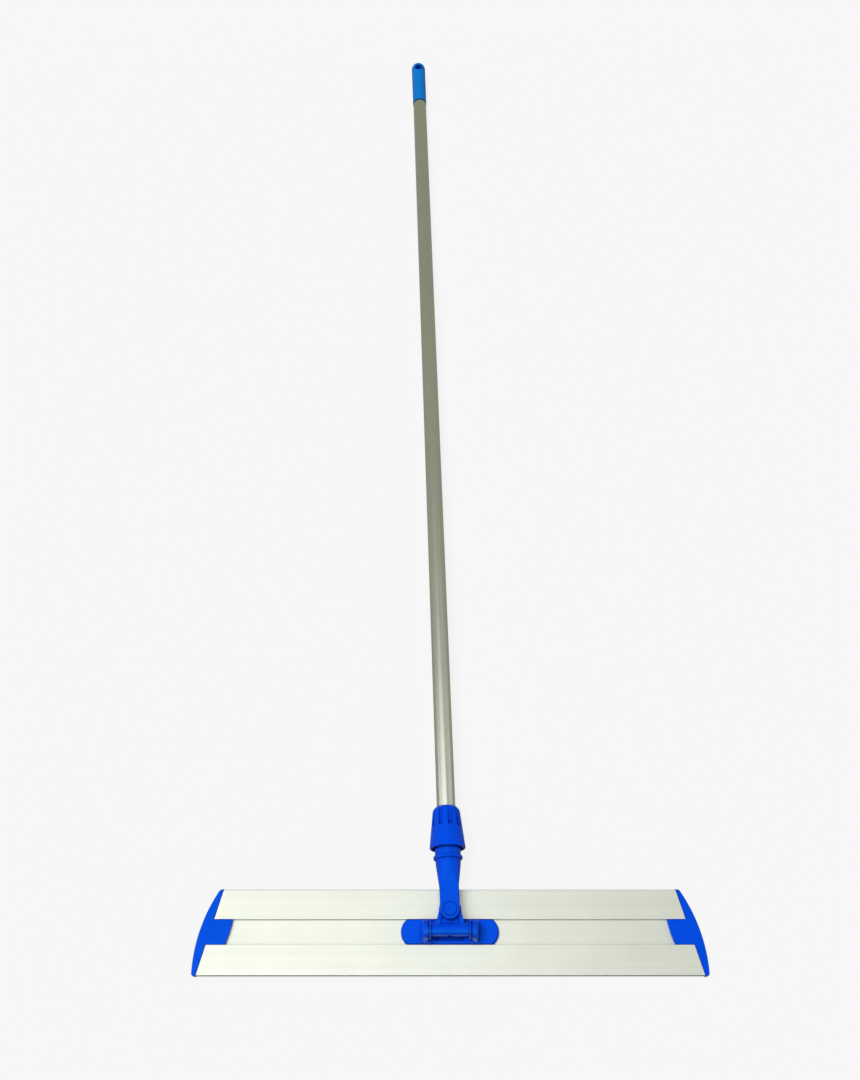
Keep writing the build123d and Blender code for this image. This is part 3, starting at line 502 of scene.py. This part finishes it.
def hook_tape(name, node, weave, hooks):
    """A woven tape in the CAD strip's place, with rows of small hooks facing down."""
    low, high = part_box(node)
    half_length = half_length_of(node)
    bm = bmesh.new()
    add_backing(bm, low, high, half_length)
    add_hooks(bm, low, high, half_length, random.Random(name))
    bmesh.ops.recalc_face_normals(bm, faces=bm.faces)
    mesh = bpy.data.meshes.new(name)
    bm.to_mesh(mesh)
    bm.free()
    mesh.materials.append(weave.mat)
    mesh.materials.append(hooks.mat)
    tape = bpy.data.objects.new(name, mesh)
    bpy.context.scene.collection.objects.link(tape)
    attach(tape, "head")
    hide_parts(node)


def add_tapes():
    """The three tapes under the head, which take the place of the CAD strips."""
    weave = woven_nylon("tape_weave", TAPE_COLOUR, weave="XY")
    hooks = woven_nylon("tape_hooks", TAPE_COLOUR, weave="")
    for place in ("front", "middle", "rear"):
        hook_tape(f"hook_tape_{place}", f"hook_strip_{place}", weave, hooks)


# ---------------------------------------------------------------- CAD nodes
def pole_turn():
    """The turn that brings the resting handle's axis onto +Z, for lines drawn along the tube."""
    slide = next(j for j in frame["joints"] if j["name"] == "handle_slide")
    return Vector(slide["axis"]).rotation_difference(Vector((0, 0, 1))).to_euler("XYZ")


def lowest_along(node, turn):
    """The lowest height of a node's mesh along the turned +Z."""
    matrix = turn.to_matrix()
    return min((matrix @ v.co).z for v in frame["nodes"][node].data.vertices)


def dress(surface, *nodes):
    """Gives CAD nodes a surface in place of their plain material."""
    for node in nodes:
        for slot in frame["nodes"][node].material_slots:
            slot.material = surface.mat


def dress_plastics(turn):
    """Blue for the joint and the caps, brighter blue for the nut and grip, grey inside."""
    blue = moulded_plastic("blue_plastic", BLUE, roughness=0.40)
    dress(blue, "end_cap_left", "end_cap_right", "swivel_base", "knuckle", "pole_socket")
    dress(blue, "pin_cover_front", "pin_cover_rear")
    dress(moulded_plastic("nut_plastic", NUT_BLUE, roughness=0.42), "clamp_nut")
    # painted shade: the inside of the grip's hanging hole darkens to a deep blue
    grip = moulded_plastic("grip_plastic", GRIP_BLUE, roughness=0.5, painted_hollows=(*PAINTED_HOLE_SHADE, True))
    # painted shade: a dark ring at the grip's mouth, where its end meets the tube
    grip.paint_end_shade(*PAINTED_MOUTH_SHADE, lowest_along("handle_grip", turn), turn)
    dress(grip, "handle_grip")
    grey = moulded_plastic("grey_plastic", GREY_PLASTIC, roughness=0.5, sheen_colour=WHITE)
    dress(grey, "clamp_collet", "tube_plug")


def dress_metals(turn):
    """The head's lines run along X, and the tube's along its own axis."""
    head = drawn_metal(
        "head_aluminium", HEAD_METAL, roughness=0.42, metallic=0.45, along="X", streak=0.045
    )
    # painted shade: the front and back faces of the head get a darker colour
    head.paint_edge_shade(PAINTED_SHADE_SIDE_METAL, half_depth=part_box("frame_profile")[1].y)
    dress(head, "frame_profile")
    tube = drawn_metal(
        "tube_aluminium", TUBE_METAL, roughness=0.33, metallic=1.0, along="Z", streak=0.05,
        turn=turn,
    )
    dress(tube, "handle_tube")
    dress(plated_steel("plated_steel"), "cap_screws", "base_screws", "tilt_axle", "swivel_pin")


def main():
    bpy.context.scene.view_settings.view_transform = "Standard"
    add_camera()
    for name, facts in SOFT_LIGHTS.items():
        add_soft_light(name, *facts)
    for name, facts in GLOSS_PANELS.items():
        add_gloss_panel(name, *facts)
    add_room()
    add_floor()
    turn = pole_turn()
    dress_plastics(turn)
    dress_metals(turn)
    add_tapes()


main()
